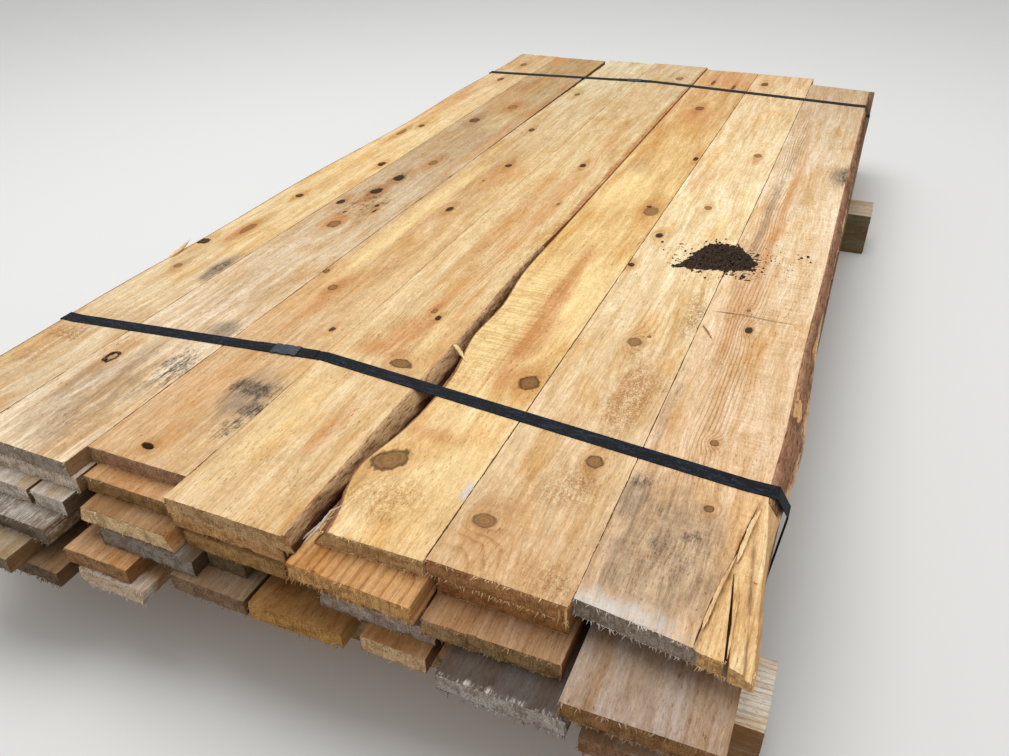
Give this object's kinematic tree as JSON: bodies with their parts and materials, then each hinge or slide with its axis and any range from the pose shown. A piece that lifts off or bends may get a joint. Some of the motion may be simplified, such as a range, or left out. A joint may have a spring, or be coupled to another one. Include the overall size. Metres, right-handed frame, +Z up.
{
  "type": "bundle of cedar boards",
  "caption": "Bundle of rough-sawn cedar boards, stacked flat in layers with uneven near ends and waney edges, held by two crimped flat steel straps, lying across two square timbers.",
  "frame": {"origin": "middle of the bundle's underside, on the floor that the two bearers lie on", "axes": "+Y along the boards, from the ragged near ends to the far ends; +X across the boards; +Z up"},
  "size_m": [1.325, 2.579, 0.3042],
  "materials": {
    "cedar": "rough sawn, unfinished",
    "bark": "rough, fibrous",
    "strapping": "black, satin",
    "soil": "crumbly, damp"
  },
  "bodies": {
    "root": {"bearer_far": "cedar", "bearer_near": "cedar", "board_1_a": "cedar", "board_1_b": "cedar", "board_1_c": "cedar", "board_1_d": "cedar", "board_1_e": "cedar", "board_1_f": "cedar", "board_1_g": "cedar", "board_2_a": "cedar", "board_2_b": "cedar", "board_2_c": "cedar", "board_2_d": "cedar", "board_2_e": "cedar", "board_2_f": "cedar", "board_2_g": "cedar", "board_3_a": "cedar", "board_3_b": "cedar", "board_3_c": "cedar", "board_3_d": "cedar", "board_3_e": "cedar", "board_3_f": "cedar", "board_3_g": "cedar", "board_3_h": "cedar", "board_4_a": "cedar", "board_4_b": "cedar", "board_4_c": "cedar", "board_4_d": "cedar", "board_4_e": "cedar", "board_4_f": "cedar", "board_4_g": "cedar", "board_4_h": "cedar", "board_5_a": "cedar", "board_5_b": "cedar", "board_5_c": "cedar", "board_5_d": "cedar", "board_5_e": "cedar", "board_5_f": "cedar", "board_5_g": "cedar", "board_5_h": "cedar", "board_6_a": "cedar", "board_6_b": "cedar", "board_6_c": "cedar", "board_6_d": "cedar", "board_6_e": "cedar", "board_6_f": "cedar", "board_6_g": "cedar", "board_7_a": "cedar", "board_7_b": "cedar", "board_7_c": "cedar", "board_7_d": "cedar", "board_7_e": "cedar", "board_7_f": "cedar", "board_7_g": "cedar", "seal_front": "strapping", "seal_rear": "strapping", "strap_front": "strapping", "strap_rear": "strapping"}
  },
  "joints": []
}
